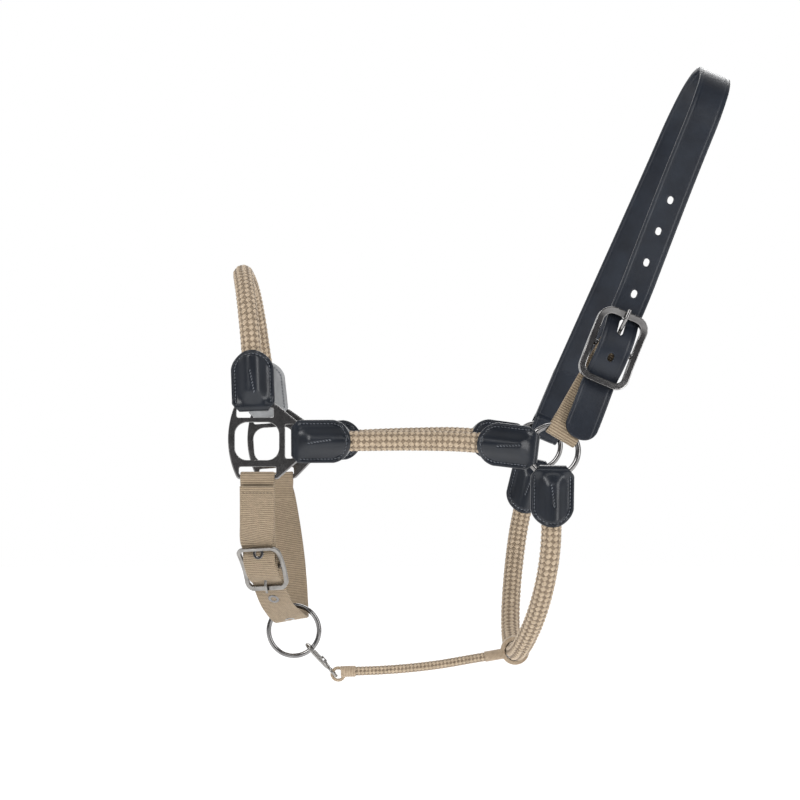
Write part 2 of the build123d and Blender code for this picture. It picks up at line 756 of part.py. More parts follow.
with BuildPart() as snap_gate:
    gate_tip = snap_frame.from_local_coords((6.9, snap_half, 0))
    with BuildSketch(Plane(origin=gate_tip, z_dir=snap_frame.x_dir)):
        Circle(1.1)
    extrude(amount=9.0)
    with BuildSketch(snap_frame):
        with Locations(gate_pin):
            Circle(pin_radius + 0.06)
    extrude(amount=3.0, both=True, mode=Mode.SUBTRACT)
save(snap_gate, "snap_gate")

with BuildPart() as snap_pin:
    with BuildSketch(snap_frame):
        with Locations(gate_pin):
            Circle(pin_radius)
    extrude(amount=2.1, both=True)
save(snap_pin, "snap_pin")

# Connector ends: a bound loop through the snap's eye and a band round the throat rope

loop_turn = math.radians(-22.0)
loop_radius = 4.6
front_loop_centre = eye_centre + Vector(math.cos(loop_turn), 0, math.sin(loop_turn)) * loop_radius
front_run = (Vector(*connector_route[1]) - Vector(*connector_route[0])).normalized()
front_end = Vector(*connector_route[0]) - front_run * 2.2
with BuildPart() as front_loop:
    with BuildSketch(Plane(origin=front_loop_centre, x_dir=(1, 0, 0), z_dir=(0, 0, 1))):
        with Locations((loop_radius, 0)):
            Circle(1.2)
    revolve(axis=Axis(front_loop_centre, (0, 1, 0)))
    with BuildSketch(Plane(origin=front_end, z_dir=front_run)):
        Circle(cord_radius + 0.9)
    extrude(amount=11.0)
    add(connector_cord.part, mode=Mode.SUBTRACT)
save(front_loop, "connector_front_loop")

rear_run = (Vector(*connector_route[-2]) - Vector(*connector_route[-1])).normalized()
rear_end = Vector(*connector_route[-1]) - rear_run * 7.0
throat_plane = Plane(origin=throat_low_point, x_dir=(1, 0, 0), z_dir=(0, -1, 0))
with BuildPart() as rear_loop:
    with BuildSketch(throat_plane):
        Circle(rope_radius + 3.6)
    extrude(amount=3.6, both=True)
    with BuildSketch(Plane(origin=rear_end, z_dir=rear_run)):
        Circle(cord_radius + 0.7)
    extrude(amount=15.0)
    with BuildSketch(throat_plane):
        Circle(rope_radius + 0.6)
    extrude(amount=8.0, both=True, mode=Mode.SUBTRACT)
    add(connector_cord.part, mode=Mode.SUBTRACT)
save(rear_loop, "connector_rear_loop")
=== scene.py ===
import bpy
import math
import numpy as np
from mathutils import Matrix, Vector


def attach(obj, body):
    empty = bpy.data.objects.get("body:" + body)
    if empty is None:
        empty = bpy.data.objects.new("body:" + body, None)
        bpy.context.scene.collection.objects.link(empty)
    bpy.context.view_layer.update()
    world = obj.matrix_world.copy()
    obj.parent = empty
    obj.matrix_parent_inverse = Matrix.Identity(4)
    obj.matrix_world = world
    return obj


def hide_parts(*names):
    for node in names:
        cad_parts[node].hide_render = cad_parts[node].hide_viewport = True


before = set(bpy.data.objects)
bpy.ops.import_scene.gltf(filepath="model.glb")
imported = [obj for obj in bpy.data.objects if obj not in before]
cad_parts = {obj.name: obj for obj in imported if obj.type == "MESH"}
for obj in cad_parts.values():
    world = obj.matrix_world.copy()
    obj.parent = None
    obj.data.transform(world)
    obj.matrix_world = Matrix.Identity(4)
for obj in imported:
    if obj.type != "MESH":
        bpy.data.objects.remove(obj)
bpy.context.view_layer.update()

MM = 0.001
scene = bpy.context.scene


def v(x, y, z):
    """A point or direction given in millimetres."""
    return Vector((x, y, z)) * MM


# Driving dimensions, the same as the CAD's

ROPE_RADIUS = 7.0 * MM
CORD_RADIUS = 3.2 * MM
RING = v(-124.1, 0, -278.2)
RING_Y = 75.0 * MM
RING_RADIUS = 18.0 * MM
RING_WIRE = 2.0 * MM
CHIN_RING = v(-312.7, 0, -415.3)
CHIN_RING_RADIUS = 18.9 * MM
CHIN_RING_WIRE = 1.8 * MM
KEEPER_HALF = 15.5
KEEPER_LENGTH = 44.0
WEBBING = 1.8

NOSE_ROUTE = [
    v(-338.85, -58.9, -234.7), v(-339.5, -57.7, -218.0), v(-340.9, -55.6, -199.0),
    v(-343.6, -50.2, -176.5), v(-347.2, -34.0, -156.5), v(-350.4, -12.0, -147.8),
    v(-350.6, 12.0, -147.8), v(-348.0, 34.0, -156.5), v(-344.9, 50.8, -177.5),
    v(-341.9, 56.4, -202.0), v(-339.0, 58.4, -222.0), v(-337.1, 59.3, -240.0),
]
THROAT_ROUTE = [
    v(-124.55, -75.0, -304.2), v(-124.9, -75.2, -325.0), v(-125.7, -75.6, -350.0),
    v(-129.2, -68.2, -375.0), v(-134.6, -55.6, -398.5), v(-141.0, -37.0, -418.0),
    v(-145.6, -13.0, -430.0), v(-147.6, 13.0, -430.0), v(-148.2, 38.0, -418.5),
    v(-146.4, 57.0, -396.0), v(-143.3, 70.0, -371.0), v(-139.6, 75.4, -345.0),
    v(-134.5, 75.2, -321.0), v(-130.3, 75.0, -303.6),
]
NEAR_CHEEK_ROUTE = [
    v(-296.0, -61.2, -271.8), v(-268.0, -63.5, -271.6), v(-225.0, -67.0, -270.9),
    v(-181.0, -70.5, -271.7), v(-149.9, -73.0, -275.3),
]
FAR_CHEEK_ROUTE = [
    v(-291.5, 61.2, -274.3), v(-262.0, 63.8, -272.2), v(-220.0, 67.4, -270.8),
    v(-179.5, 70.6, -270.3), v(-149.8, 73.0, -274.4),
]
CONNECTOR_ROUTE = [
    v(-275.2, 0.0, -446.0), v(-256.0, 0.0, -445.6), v(-229.0, 0.0, -443.9),
    v(-203.0, 0.0, -440.9), v(-181.0, 0.0, -436.9), v(-161.4, 0.0, -433.6),
]

# Materials


class Paint:
    """A node material with short calls for the nodes that every surface here uses."""

    def __init__(self, name, roughness, metallic=0.0, sheen=0.0, coat=0.0):
        self.material = bpy.data.materials.new(name)
        self.material.use_nodes = True
        self.nodes = self.material.node_tree.nodes
        self.links = self.material.node_tree.links
        self.shader = self.nodes["Principled BSDF"]
        self.shader.inputs["Roughness"].default_value = roughness
        self.shader.inputs["Metallic"].default_value = metallic
        self.shader.inputs["Sheen Weight"].default_value = sheen
        self.shader.inputs["Sheen Roughness"].default_value = 0.5
        self.shader.inputs["Coat Weight"].default_value = coat
        self.shader.inputs["Coat Roughness"].default_value = 0.25
        self.place = self.nodes.new("ShaderNodeTexCoord").outputs["Object"]
        self.normal = None

    def noise(self, scale, detail=3.0):
        node = self.nodes.new("ShaderNodeTexNoise")
        node.inputs["Scale"].default_value = scale
        node.inputs["Detail"].default_value = detail
        self.links.new(self.place, node.inputs["Vector"])
        return node.outputs["Fac"]

    def cells(self, scale):
        node = self.nodes.new("ShaderNodeTexVoronoi")
        node.feature = "DISTANCE_TO_EDGE"
        node.inputs["Scale"].default_value = scale
        self.links.new(self.place, node.inputs["Vector"])
        return node.outputs["Distance"]

    def attribute(self, name):
        node = self.nodes.new("ShaderNodeAttribute")
        node.attribute_name = name
        return node.outputs["Fac"]

    def ramp(self, source, low, high, first=0.3, last=0.7):
        node = self.nodes.new("ShaderNodeValToRGB")
        node.color_ramp.elements[0].position = first
        node.color_ramp.elements[1].position = last
        node.color_ramp.elements[0].color = (*low, 1.0)
        node.color_ramp.elements[1].color = (*high, 1.0)
        self.links.new(source, node.inputs["Fac"])
        return node.outputs["Color"]

    def multiply(self, first, second):
        node = self.nodes.new("ShaderNodeMix")
        node.data_type = "RGBA"
        node.blend_type = "MULTIPLY"
        node.inputs["Factor"].default_value = 1.0
        self.links.new(first, node.inputs["A"])
        self.links.new(second, node.inputs["B"])
        return node.outputs["Result"]

    def colour(self, source):
        self.links.new(source, self.shader.inputs["Base Color"])

    def rough(self, source, low, high):
        node = self.nodes.new("ShaderNodeMapRange")
        node.inputs["To Min"].default_value = low
        node.inputs["To Max"].default_value = high
        self.links.new(source, node.inputs["Value"])
        self.links.new(node.outputs["Result"], self.shader.inputs["Roughness"])

    def bump(self, height, strength, distance):
        node = self.nodes.new("ShaderNodeBump")
        node.inputs["Strength"].default_value = strength
        node.inputs["Distance"].default_value = distance
        self.links.new(height, node.inputs["Height"])
        if self.normal:
            self.links.new(self.normal, node.inputs["Normal"])
        self.normal = node.outputs["Normal"]
        self.links.new(self.normal, self.shader.inputs["Normal"])


def yarn(name, dark, light, sheen=0.2):
    """Cotton yarn with painted shade in its grooves, uneven in tone, with fine fibres."""
    paint = Paint(name, 0.85, sheen=sheen)
    tone = paint.ramp(paint.noise(420.0), dark, light)
    # Painted shade: the colour is darkened where the painted light level is low, in grooves and recesses.
    painted_groove_shade = paint.ramp(paint.attribute("painted_light_level"), (0.30, 0.24, 0.18), (1, 1, 1), 0.05, 0.7)
    paint.colour(paint.multiply(tone, painted_groove_shade))
    paint.rough(paint.noise(900.0), 0.75, 0.95)
    paint.bump(paint.noise(2600.0, 4.0), 0.5, 0.0003)
    return paint.material


def hide(name, dark, light, low_rough, high_rough, coat=0.15):
    """Leather: fine pebbled grain, slow changes of tone and of gloss."""
    paint = Paint(name, 0.35, coat=coat)
    paint.colour(paint.ramp(paint.noise(60.0), dark, light))
    paint.rough(paint.noise(140.0, 5.0), low_rough, high_rough)
    paint.bump(paint.cells(1500.0), 0.18, 0.00012)
    paint.bump(paint.noise(350.0, 5.0), 0.22, 0.0003)
    paint.shader.inputs["Specular IOR Level"].default_value = 0.28
    return paint.material


def metal(name, dark, light, low_rough, high_rough):
    """Plated metal with a faint unevenness from polishing."""
    paint = Paint(name, 0.2, metallic=1.0)
    paint.colour(paint.ramp(paint.noise(180.0), dark, light))
    paint.rough(paint.noise(500.0, 5.0), low_rough, high_rough)
    paint.bump(paint.noise(240.0, 2.0), 0.08, 0.0003)
    return paint.material


ROPE_LIGHT = yarn("rope_light_yarn", (0.34, 0.262, 0.18), (0.47, 0.372, 0.265))
ROPE_BROWN = yarn("rope_brown_yarn", (0.15, 0.108, 0.069), (0.225, 0.168, 0.112))
# The core's dark brown yarn colour also paints the shade seen in the gaps between the strands.
ROPE_CORE_AND_GAP_SHADE = yarn("rope_core_yarn_and_gap_shade", (0.10, 0.065, 0.038), (0.15, 0.10, 0.06), sheen=0.1)
WEBBING_YARN = yarn("webbing_yarn", (0.275, 0.213, 0.142), (0.335, 0.262, 0.178), sheen=0.15)
LEATHER = hide("navy_leather", (0.006, 0.008, 0.012), (0.010, 0.013, 0.019), 0.24, 0.40)
LEATHER_STRAP = hide("strap_leather", (0.006, 0.008, 0.013), (0.011, 0.015, 0.023), 0.32, 0.48, 0.05)
SUEDE = hide("suede_lining", (0.20, 0.205, 0.21), (0.30, 0.305, 0.31), 0.8, 0.95, 0.0)
THREAD = hide("waxed_thread", (0.05, 0.055, 0.065), (0.13, 0.14, 0.16), 0.3, 0.5, 0.2)
TAN_THREAD = yarn("tan_thread", (0.16, 0.12, 0.08), (0.24, 0.185, 0.125))
DARK_METAL = metal("gunmetal", (0.15, 0.146, 0.145), (0.23, 0.225, 0.222), 0.10, 0.20)
NICKEL = metal("satin_nickel", (0.20, 0.19, 0.18), (0.29, 0.28, 0.265), 0.24, 0.36)

# Meshes

STITCH_ROWS = 5
STITCH_SIDES = 8


def make(name, verts, faces, materials, body, replaced=(), indices=None, painted_light_level=None):
    mesh = bpy.data.meshes.new(name)
    mesh.from_pydata([tuple(p) for p in verts], [], faces)
    for material in materials:
        mesh.materials.append(material)
    if indices:
        mesh.polygons.foreach_set("material_index", indices)
    if painted_light_level:
        # Painted light level per point: 1 where lit, lower where painted shade falls in a groove.
        layer = mesh.attributes.new("painted_light_level", "FLOAT", "POINT")
        layer.data.foreach_set("value", painted_light_level)
    return finish_piece(name, mesh, body, replaced)


def finish_piece(name, mesh, body, replaced):
    mesh.polygons.foreach_set("use_smooth", [True] * len(mesh.polygons))
    mesh.update()
    piece = bpy.data.objects.new(name, mesh)
    scene.collection.objects.link(piece)
    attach(piece, body)
    if replaced:
        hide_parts(*replaced)
    return piece


class Builder:
    """Collects closed tubes and stitches into one mesh."""

    def __init__(self):
        self.verts = []
        self.faces = []
        self.indices = []
        self.painted_light_level = []

    def tube(self, rings, index=0, painted_light_levels=None, closed=False):
        """Joins rings of points; the ends are capped unless the tube closes on itself."""
        start = len(self.verts)
        count = len(rings[0])
        total = len(rings)
        for number, ring in enumerate(rings):
            self.verts.extend(ring)
            # Each point's painted light level; lower values paint shade into the yarn colour.
            self.painted_light_level.extend(painted_light_levels[number] if painted_light_levels else [1.0] * count)
        for row in range(total if closed else total - 1):
            here = start + row * count
            there = start + ((row + 1) % total) * count
            for k in range(count):
                n = (k + 1) % count
                self.faces.append((here + k, here + n, there + n, there + k))
                self.indices.append(index)
        if not closed:
            self.faces.append(tuple(start + k for k in reversed(range(count))))
            self.faces.append(tuple(start + (total - 1) * count + k for k in range(count)))
            self.indices.extend((index, index))

    def stitch(self, centre, along, out, length, width, height):
        """A stretched round blob that lies along a direction. The sizes are half sizes."""
        along = along.normalized()
        out = (out - along * out.dot(along)).normalized()
        side = out.cross(along)
        rings = []
        for row in range(STITCH_ROWS):
            angle = math.pi * (row + 0.5) / STITCH_ROWS
            reach = math.sin(angle)
            middle = centre - along * (length * math.cos(angle))
            rings.append([
                middle + side * (width * reach * math.cos(2 * math.pi * k / STITCH_SIDES))
                + out * (height * reach * math.sin(2 * math.pi * k / STITCH_SIDES))
                for k in range(STITCH_SIDES)
            ])
        self.tube(rings)

    def make(self, name, materials, body, slot, replaced=()):
        return make(
            name, self.verts, self.faces, materials, body, replaced, self.indices, self.painted_light_level
        )


# Centre lines


def spline_points(route, step):
    """Points evenly spaced along the cord's own NURBS line, which has no bevel."""
    curve = bpy.data.curves.new("route", "CURVE")
    curve.dimensions = "3D"
    spline = curve.splines.new("NURBS")
    spline.points.add(len(route) - 1)
    for point, place in zip(spline.points, route):
        point.co = (*place, 1.0)
    spline.order_u = 3
    spline.use_endpoint_u = True
    spline.resolution_u = 24
    holder = bpy.data.objects.new("route", curve)
    line = bpy.data.meshes.new_from_object(holder)
    dense = [vertex.co.copy() for vertex in line.vertices]
    bpy.data.objects.remove(holder)
    bpy.data.curves.remove(curve)
    bpy.data.meshes.remove(line)
    return even(dense, step)


def even(points, step):
    """The same line with evenly spaced points."""
    reach = [0.0]
    for a, b in zip(points, points[1:]):
        reach.append(reach[-1] + (b - a).length)
    count = max(2, round(reach[-1] / step))
    result = []
    at = 0
    for number in range(count + 1):
        want = reach[-1] * number / count
        while at < len(points) - 2 and reach[at + 1] < want:
            at += 1
        span = reach[at + 1] - reach[at]
        result.append(points[at].lerp(points[at + 1], (want - reach[at]) / span if span else 0))
    return result


def tangents(points, closed=False):
    count = len(points)
    result = []
    for k in range(count):
        before = points[k - 1] if (k or closed) else points[0]
        after = points[(k + 1) % count] if (k < count - 1 or closed) else points[-1]
        result.append((after - before).normalized())
    return result


def frames(points):
    """A frame at each point that turns as little as possible along the line."""
    along = tangents(points)
    guess = Vector((0.3, 0.1, 0.9))
    normal = (guess - along[0] * guess.dot(along[0])).normalized()
    result = []
    for t in along:
        normal = (normal - t * normal.dot(t)).normalized()
        result.append((t, normal, t.cross(normal)))
    return result


# Braided rope: light strands turn one way round a core and brown ones the other way, over and under

CORE_SIDES = 16
STRAND_SIDES = 8
STRAND_COVER = 1.1  # above 1, neighbouring strands of one hand overlap a little
BROWN_WIDTH = 0.86  # of a light strand's width
# Fractions of the rope's radius
CORE = 0.84
STRAND_MIDDLE = 0.875
STRAND_RISE = 0.085
STRAND_HALF_HEIGHT = 0.115
BROWN_SINK = 0.028


def braid(name, route, radius, nodes, pitch, step, slot="rope", carriers=9):
    """A rope along a route, with this many strands, or carriers, of each hand. Returns it and its line."""
    points = spline_points(route, step)
    bases = frames(points)
    spacing = (points[1] - points[0]).length
    rise = STRAND_RISE * radius
    middle = STRAND_MIDDLE * radius
    half_height = STRAND_HALF_HEIGHT * radius
    lean = math.atan2(2 * math.pi * middle, pitch)
    half_width = STRAND_COVER * math.pi * middle / carriers * math.cos(lean)
    builder = Builder()
    core = CORE * radius
    rings = [
        [
            p + n * (core * math.cos(2 * math.pi * k / CORE_SIDES))
            + b * (core * math.sin(2 * math.pi * k / CORE_SIDES))
            for k in range(CORE_SIDES)
        ]
        for p, (t, n, b) in zip(points[::2], bases[::2])
    ]
    # The core, whose dark colour also paints the shade in the gaps between strands.
    builder.tube(rings, 2)
    for hand, index, width, sink in (
        (1, 0, half_width, 0.0), (-1, 1, half_width * BROWN_WIDTH, BROWN_SINK * radius),
    ):
        for carrier in range(carriers):
            rings = []
            painted_light_levels = []
            for number, (p, (t, n, b)) in enumerate(zip(points, bases)):
                s = number * spacing
                angle = 2 * math.pi * (carrier / carriers + hand * s / pitch)
                out = n * math.cos(angle) + b * math.sin(angle)
                tangent = b * math.cos(angle) - n * math.sin(angle)
                wave = hand * math.cos(2 * math.pi * carriers * s / pitch)
                centre = p + out * (middle + rise * wave - sink)
                run = (t * math.cos(lean) + tangent * (hand * math.sin(lean))).normalized()
                side = out.cross(run)
                ring = []
                painted_light_level = []
                for k in range(STRAND_SIDES):
                    turn = 2 * math.pi * k / STRAND_SIDES
                    ring.append(
                        centre + side * (width * math.cos(turn)) + out * (half_height * math.sin(turn))
                    )
                    # Painted shade: the strand is darker where it dips under the other hand and on its side
                    # towards the core.
                    painted_light_level.append(0.5 + 0.28 * wave + 0.22 * math.sin(turn))
                rings.append(ring)
                painted_light_levels.append(painted_light_level)
            builder.tube(rings, index, painted_light_levels)
    piece = builder.make(name, [ROPE_LIGHT, ROPE_BROWN, ROPE_CORE_AND_GAP_SHADE], "noseband", slot, nodes)
    return piece, points


for name, route in (
    ("nose_braid", NOSE_ROUTE),
    ("throat_braid", THROAT_ROUTE),
    ("near_cheek_braid", NEAR_CHEEK_ROUTE),
    ("far_cheek_braid", FAR_CHEEK_ROUTE),
):
    node = name.replace("braid", "rope")
    piece, points = braid(name, route, ROPE_RADIUS, (node,), 36 * MM, 0.7 * MM)

piece, points = braid(
    "connector_braid", CONNECTOR_ROUTE, CORD_RADIUS, ("connector_cord",), 17 * MM, 0.4 * MM,
    slot="cord", carriers=6,
)

# Softened copies of the CAD meshes, and helpers for flat paths


def softened(node, voxel, passes):
    """A rounded copy of a CAD node's mesh."""
    holder = bpy.data.objects.new("holder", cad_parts[node].data.copy())
    scene.collection.objects.link(holder)
    remesh = holder.modifiers.new("remesh", "REMESH")
    remesh.mode = "VOXEL"
    remesh.voxel_size = voxel
    smooth = holder.modifiers.new("smooth", "SMOOTH")
    smooth.factor = 0.5
    smooth.iterations = passes
    graph = bpy.context.evaluated_depsgraph_get()
    mesh = bpy.data.meshes.new_from_object(holder.evaluated_get(graph))
    bpy.data.objects.remove(holder)
    mesh.materials.clear()
    return mesh


def shaped(mesh, change):
    """Moves a mesh's points along their normals by change(points, normals), in metres."""
    count = len(mesh.vertices)
    places = np.empty(count * 3, "f")
    normals = np.empty(count * 3, "f")
    mesh.vertices.foreach_get("co", places)
    mesh.vertex_normals.foreach_get("vector", normals)
    places, normals = places.reshape(-1, 3), normals.reshape(-1, 3)
    places += normals * change(places, normals)[:, None]
    mesh.vertices.foreach_set("co", places.ravel())
    mesh.update()


def off_path(path, x, y):
    """Each point's distance from a flat path."""
    best = np.full(np.shape(x), 1e9)
    for (ax, ay), (bx, by) in zip(path, path[1:]):
        dx, dy = bx - ax, by - ay
        share = np.clip(((x - ax) * dx + (y - ay) * dy) / (dx * dx + dy * dy), 0, 1)
        best = np.minimum(best, np.hypot(x - ax - dx * share, y - ay - dy * share))
    return best


def flat_points(path, pitch):
    """Evenly spaced points and directions along a flat path."""
    line = even([Vector((x, y, 0)) for x, y in path], pitch)
    return list(zip(line, tangents(line)))


def smoothstep(low, high, value):
    share = np.clip((value - low) / (high - low), 0, 1)
    return share * share * (3 - 2 * share)


# Keepers: pouches of leather round a rope's end. All in millimetres, measured from the fold

SEAM_INSET = 2.7
SEAM_TIP_STEPS = 14
TIP_CENTRE = 28.26
TIP_RADIUS = 15.74
TIP_START = 31.0
FOLD_REACH = 4.5
KEEPER_COLUMNS = 73
SWELL = 8.75  # radius of the leather over the rope
FLANK_START = 5.0
FLANK_RUN = 7.4
RIM_START = 12.6
RIM_END = 13.6
RIM_HEIGHT = 2.2
SEAM_DEPTH = 0.75
MIDDLE_DEPTH = 0.45
GROOVE_WIDTH = 0.7
EDGE_ROUND = 0.9
PROBE = 0.4  # half the distance over which a face's slope is read
SEAM_PITCH = 2.5
SEAM_SLANT = 0.12
MIDDLE_PITCH = 2.1
MIDDLE_SLANT = 0.65
RING_FOLD = 10.2


def keeper_seam(shoulder):
    """A keeper's stitch line: one side, the round end, the other side."""
    half = KEEPER_HALF - SEAM_INSET
    radius = TIP_RADIUS - SEAM_INSET
    first = math.asin(half / radius)
    arc = [
        (TIP_CENTRE + radius * math.cos(a), radius * math.sin(a))
        for a in [first * (1 - k / SEAM_TIP_STEPS) for k in range(2 * SEAM_TIP_STEPS + 1)]
    ]
    return [(shoulder + 1.5, half)] + arc + [(shoulder + 1.5, -half)]


class Pouch:
    """The height of a keeper's face over its middle plane, all in millimetres."""

    def __init__(self, on_ring):
        self.fold_half = 9.0 if on_ring else 9.8
        self.shoulder = 7.2 if on_ring else 5.2
        self.fold = 4.4 if on_ring else 4.0
        self.seam = keeper_seam(6.5 if on_ring else 5.5)
        self.middle = [(14.0, 1.2), (29.0, -1.2)]

    def half_width(self, x):
        rise = self.fold_half + (KEEPER_HALF - self.fold_half) * smoothstep(-1.5, self.shoulder + 1.5, x)
        tip = np.sqrt(np.maximum(TIP_RADIUS**2 - (np.maximum(x, TIP_START) - TIP_CENTRE) ** 2, 0))
        return np.minimum(rise, tip)

    def height(self, x, y):
        reach = np.abs(y)
        circle = np.sqrt(np.maximum(SWELL**2 - np.minimum(reach, FLANK_START) ** 2, 0))
        t = np.clip((reach - FLANK_START) / FLANK_RUN, 0, 1)
        top, slope, low = 7.18, -0.70 * FLANK_RUN, 1.75
        drape = (2 * t**3 - 3 * t**2 + 1) * top + (t**3 - 2 * t**2 + t) * slope + (3 * t**2 - 2 * t**3) * low
        rope = np.where(reach < FLANK_START, circle, drape)
        flat = smoothstep(RIM_START, RIM_END, reach)
        rope = np.where(reach > RIM_START, np.maximum(rope, RIM_HEIGHT * flat + rope * (1 - flat)), rope)
        bend = np.sqrt(np.maximum(self.fold**2 - np.maximum(self.fold - x, 0) ** 2, 0))
        pinch = smoothstep(4.0, 11.0, x) * smoothstep(5.0, 13.5, reach)
        fold = bend * (1 - pinch) + 2.0 * pinch
        blend = smoothstep(4.0, 15.5, x)
        level = fold * (1 - blend) + rope * blend
        level -= SEAM_DEPTH * np.exp(-((off_path(self.seam, x, y) / GROOVE_WIDTH) ** 2))
        level -= MIDDLE_DEPTH * np.exp(-((off_path(self.middle, x, y) / GROOVE_WIDTH) ** 2))
        inside = np.minimum(self.half_width(x) - reach, 60.0)
        inside = np.where(x > TIP_START, TIP_RADIUS - np.hypot(x - TIP_CENTRE, y), inside)
        edge = np.clip(1 - inside / EDGE_ROUND, 0, 1)
        round_off = EDGE_ROUND * (1 - np.sqrt(np.maximum(1 - edge**2, 0)))
        return np.maximum(level - round_off * np.minimum(1, x / 2.0), 0)


def keeper(node, fold, along, side, on_ring):
    """A leather keeper: local x along the rope, y across it, z out of its broad face."""
    out = along.cross(side).normalized()
    pouch = Pouch(on_ring)
    near_fold = [FOLD_REACH * (1 - math.cos(math.pi / 2 * k / 10)) for k in range(10)]
    straight = [FOLD_REACH + (TIP_START - FOLD_REACH) * k / 48 for k in range(48)]
    tip_reach = KEEPER_LENGTH - 0.01 - TIP_START
    tip = [TIP_START + tip_reach * math.sin(math.pi / 2 * k / 26) for k in range(27)]
    rows = np.array(near_fold + straight + tip)
    share = np.sin(np.linspace(-math.pi / 2, math.pi / 2, KEEPER_COLUMNS))
    share = 0.45 * share + 0.55 * np.linspace(-1, 1, KEEPER_COLUMNS)
    x = np.repeat(rows[:, None], len(share), 1)
    y = pouch.half_width(rows)[:, None] * share[None, :]
    z = pouch.height(x, y)
    dirs = [np.array(d) for d in (along, side, out)]
    base = np.array(fold)
    builder = Builder()
    count = len(share)
    total = len(rows)

    def point(px, py, pz):
        return base + (dirs[0] * px + dirs[1] * py + dirs[2] * pz) * MM

    for row in range(total):
        upper = [point(x[row, k], y[row, k], z[row, k]) for k in range(count)]
        lower = [point(x[row, k], y[row, k], -z[row, k]) for k in reversed(range(count))]
        seam_right = point(x[row, -1], y[row, -1] - 0.3, 0)
        seam_left = point(x[row, 0], y[row, 0] + 0.3, 0)
        builder.verts.extend(upper + [seam_right] + lower + [seam_left])
    length = 2 * count + 2
    inner = 1 if node == "far_nose_keeper" else 0
    for row in range(total - 1):
        for k in range(length):
            n = (k + 1) % length
            here, there = row * length, (row + 1) * length
            builder.faces.append((here + k, here + n, there + n, there + k))
            builder.indices.append(inner if (k < count) == (out.y < 0) else 0)
    builder.faces.append(tuple(reversed(range(length))))
    builder.faces.append(tuple((total - 1) * length + k for k in range(length)))
    builder.indices.extend((0, 0))
    builder.painted_light_level = [1.0] * len(builder.verts)
    builder.make(node.replace("keeper", "leather"), [LEATHER, SUEDE], "noseband", "leather", (node,))
    stitches = Builder()
    for face in (1, -1):
        marks = [(p, run, SEAM_SLANT) for p, run in flat_points(pouch.seam, SEAM_PITCH)]
        marks += [(p, run, MIDDLE_SLANT) for p, run in flat_points(pouch.middle, MIDDLE_PITCH)]
        for p, run, slant in marks:
            here = float(pouch.height(p.x, p.y))
            rise_x = float(pouch.height(p.x + PROBE, p.y) - pouch.height(p.x - PROBE, p.y))
            rise_y = float(pouch.height(p.x, p.y + PROBE) - pouch.height(p.x, p.y - PROBE))
            slope_x, slope_y = rise_x / (2 * PROBE), rise_y / (2 * PROBE)
            normal = (out * face - along * slope_x - side * slope_y).normalized()
            direction = along * (run.x - slant * run.y) + side * (run.y + slant * run.x)
            place = fold + (along * p.x + side * p.y + out * (face * here)) * MM + normal * (0.22 * MM)
            stitches.stitch(place, direction, normal, 0.95 * MM, 0.42 * MM, 0.42 * MM)
    stitches.make(node.replace("keeper", "stitches"), [THREAD], "noseband", "leather")


def square_frame(centre, tilt):
    turn = math.radians(tilt)
    return centre, Vector((math.cos(turn), 0, math.sin(turn))), Vector((-math.sin(turn), 0, math.cos(turn)))


NEAR_SQUARE = square_frame(v(-332.0, -60.0, -272.2), 0.0)
FAR_SQUARE = square_frame(v(-327.5, 60.0, -277.2), 4.0)


def square_keeper(node, square, local, route, outwards):
    centre, right, up = square
    fold = centre + right * (local[0] * MM) + up * (local[1] * MM)
    along = (route[1] - route[0]).normalized()
    start = route[0] - along * (route[0] - fold).dot(along)
    side = along.cross(Vector((0, outwards, 0))).normalized()
    keeper(node, start, along, side, False)


def ring_keeper(node, hand, angle, route):
    along = (route[1] - route[0]).normalized()
    turn = math.radians(angle)
    on_wire = Vector((math.cos(turn), 0, math.sin(turn))) * (RING_FOLD * MM)
    fold = RING + on_wire + Vector((0, hand * RING_Y, 0))
    keeper(node, fold, along, along.cross(Vector((0, hand, 0))).normalized(), True)


NOSE_FOLD = (-5.6, 27.6 - 3.2 - 2.5)
CHEEK_FOLD = (26.2 - 3.2 - 2.5, 0.4)
square_keeper("near_nose_keeper", NEAR_SQUARE, NOSE_FOLD, NOSE_ROUTE, -1)
square_keeper("far_nose_keeper", FAR_SQUARE, NOSE_FOLD, NOSE_ROUTE[::-1], 1)
square_keeper("near_cheek_front_keeper", NEAR_SQUARE, CHEEK_FOLD, NEAR_CHEEK_ROUTE, -1)
square_keeper("far_cheek_front_keeper", FAR_SQUARE, CHEEK_FOLD, FAR_CHEEK_ROUTE, 1)
ring_keeper("near_cheek_rear_keeper", -1, 173.5, NEAR_CHEEK_ROUTE[::-1])
ring_keeper("far_cheek_rear_keeper", 1, 171.6, FAR_CHEEK_ROUTE[::-1])
ring_keeper("near_throat_keeper", -1, 269.0, THROAT_ROUTE)
ring_keeper("far_throat_keeper", 1, 256.5, THROAT_ROUTE[::-1])

# Crown strap

LEAN = math.radians(22.9)
TURN = math.radians(4.0)
UP = Vector((math.sin(LEAN), 0, math.cos(LEAN)))
FLAT = Vector((math.cos(LEAN), 0, -math.sin(LEAN)))
ACROSS = Vector((0, 1, 0)) * math.cos(TURN) - FLAT * math.sin(TURN)
WIDE = ACROSS.cross(UP)


def crown(x, y, z=0.0):
    """A point given in the crown strap's own frame, in millimetres."""
    return (ACROSS * x + UP * y + WIDE * z) * MM


CREASE = 9.2
strap = softened("crown_strap", 0.62 * MM, 5)
wide = np.array(WIDE)
shaped(strap, lambda places, normals: np.where(
    np.abs(normals @ wide) < 0.4,
    -0.34 * MM * np.exp(-(((np.abs(places @ wide) / MM - CREASE) / 0.55) ** 2)), 0.0,
))
strap.materials.append(LEATHER_STRAP)
finish_piece("crown_strap_leather", strap, "crown", ("crown_strap",))

# Metal: rounded copies of the CAD shapes


def rounded(node, voxel, passes, body, material):
    mesh = softened(node, voxel, passes)
    mesh.materials.append(material)
    finish_piece(node + "_metal", mesh, body, (node,))


